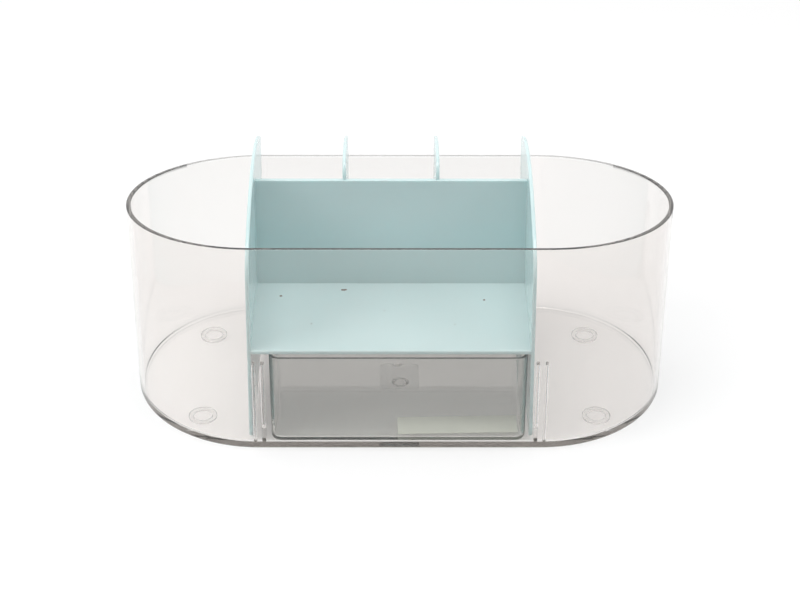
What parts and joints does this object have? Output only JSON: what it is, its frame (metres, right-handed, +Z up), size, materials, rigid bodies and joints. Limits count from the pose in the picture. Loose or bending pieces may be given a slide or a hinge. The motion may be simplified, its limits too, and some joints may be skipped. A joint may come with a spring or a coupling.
{
  "type": "makeup organizer",
  "caption": "Oval clear plastic vanity bin with a sloping rim, a lift-out pale divider insert with a shelf and back compartments, and a small clear box that slides under the shelf.",
  "frame": {"origin": "middle of the footprint, on the surface that the feet stand on", "axes": "+X along the length to the viewer's right, +Y to the back with the low rim, +Z up"},
  "size_m": [0.3, 0.145, 0.1385],
  "materials": {
    "clear_bin": "clear",
    "insert": "satin translucent",
    "small_box": "clear grey",
    "paper": "matt",
    "foot": "clear soft"
  },
  "bodies": {
    "bin": {"clear_bin": "clear_bin", "ring_foot_front_left": "foot", "ring_foot_back_left": "foot", "ring_foot_front_right": "foot", "ring_foot_back_right": "foot"},
    "insert": {"divider_insert": "insert"},
    "small_box": {"small_clear_box": "small_box", "paper_strip": "paper"}
  },
  "joints": [
    {"name": "insert_lift", "type": "slide", "parent": "bin", "child": "insert", "axis": [0, 0, 1], "range_m": [0, 0.14]},
    {"name": "small_box_slide", "type": "slide", "parent": "bin", "child": "small_box", "axis": [0, 1, 0], "range_m": [0, 0.086]}
  ]
}
